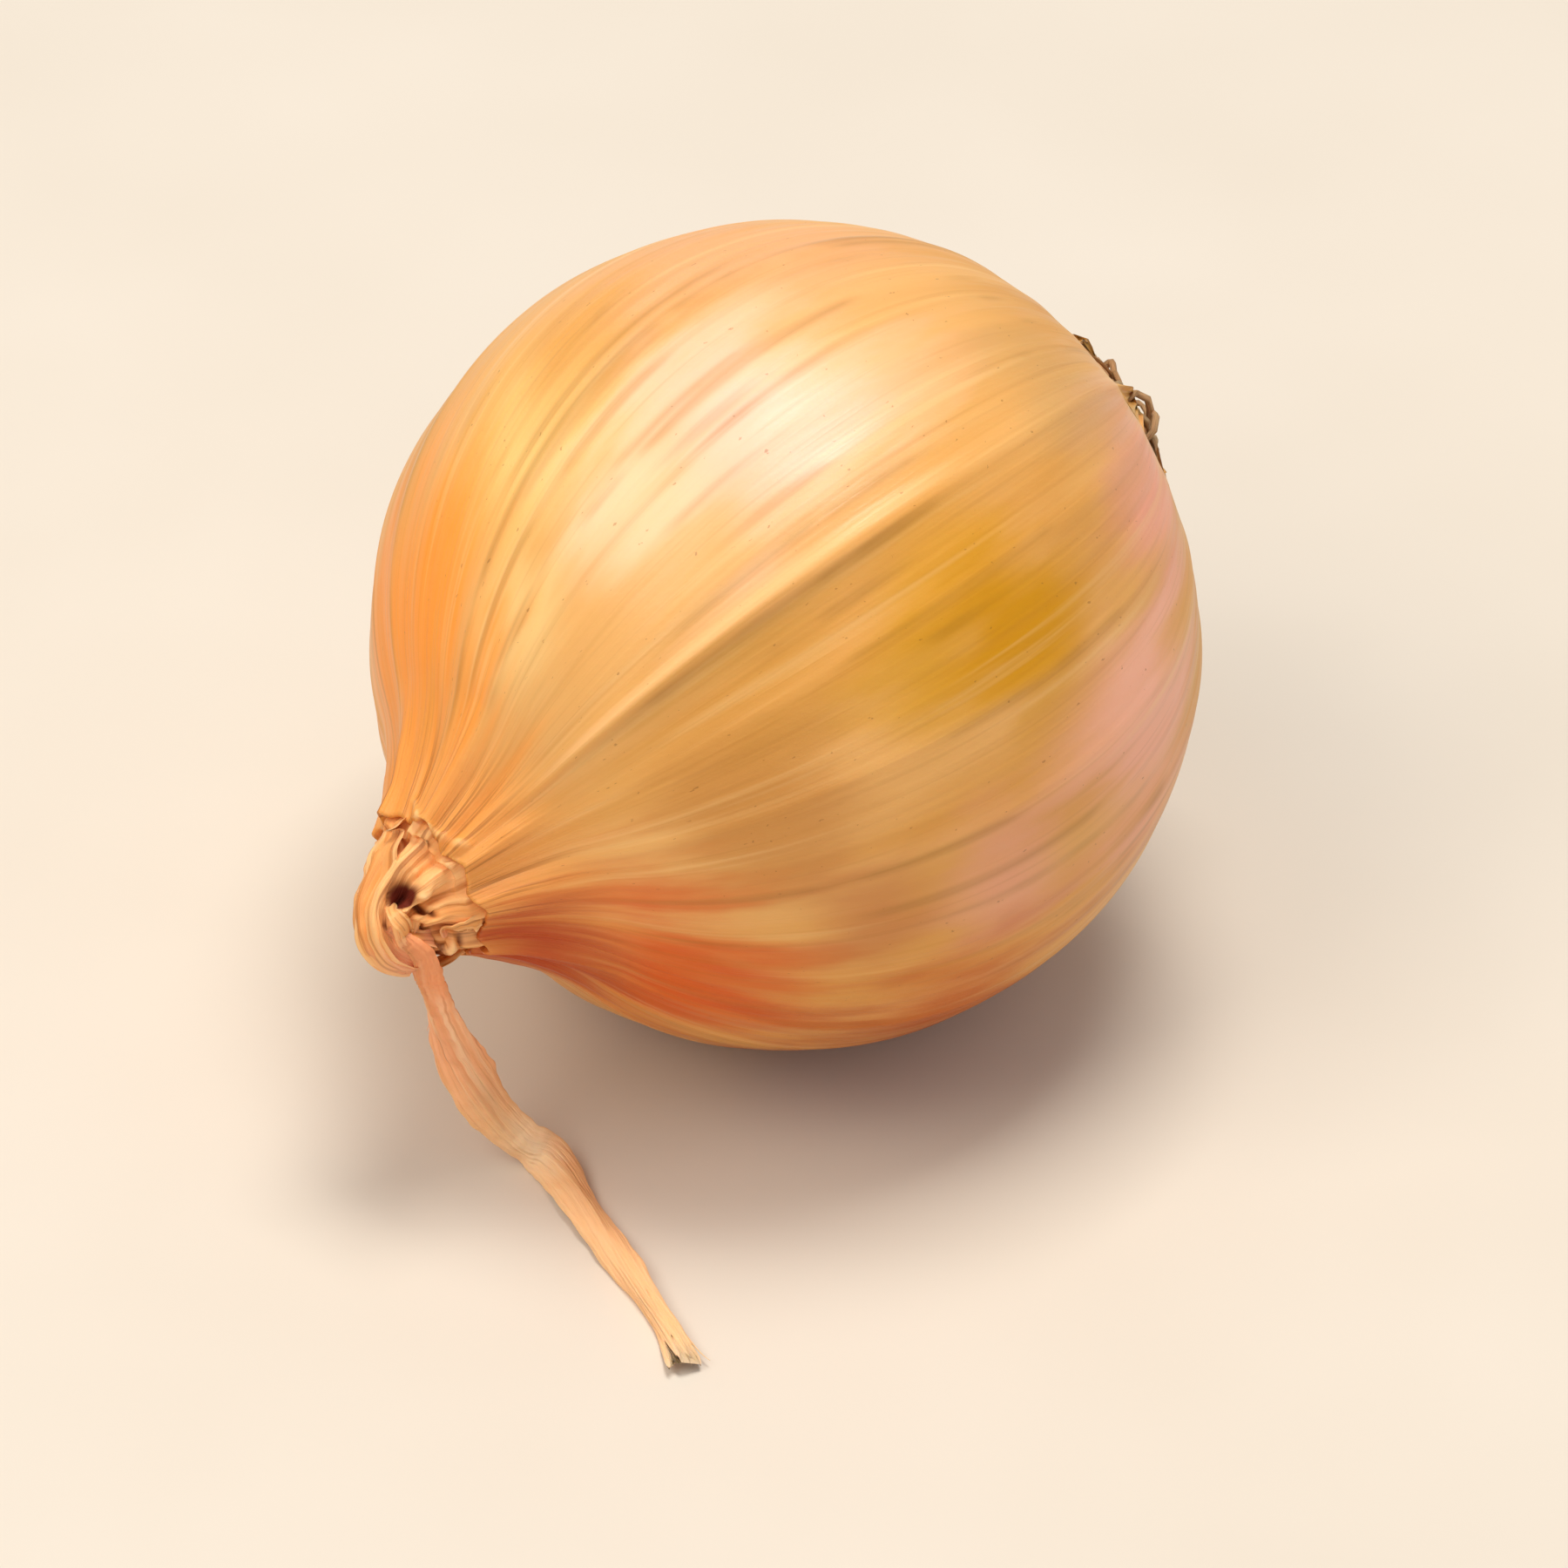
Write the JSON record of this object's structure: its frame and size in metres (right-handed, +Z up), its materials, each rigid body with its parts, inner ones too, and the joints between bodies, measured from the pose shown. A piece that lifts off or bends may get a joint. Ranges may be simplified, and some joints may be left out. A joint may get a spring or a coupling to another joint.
{
  "type": "onion",
  "caption": "Small globe onion with a dry golden skin, a pleated dry neck, one withered leaf trailing on the surface, and a matted root tuft, lying on its side.",
  "frame": {"origin": "middle of the small flat spot that the bulb rests on", "axes": "+Z up, -X towards the neck, +X towards the root end, -Y towards the side where the leaf trails"},
  "size_m": [0.0649, 0.053, 0.0519],
  "materials": {
    "golden_skin": "satin",
    "dry_straw": "matte",
    "withered_leaf": "matte",
    "dry_root": "matte"
  },
  "bodies": {
    "root": {"bulb": "golden_skin", "dry_neck": "dry_straw", "withered_leaf": "withered_leaf", "root_tuft": "dry_root"}
  },
  "joints": []
}
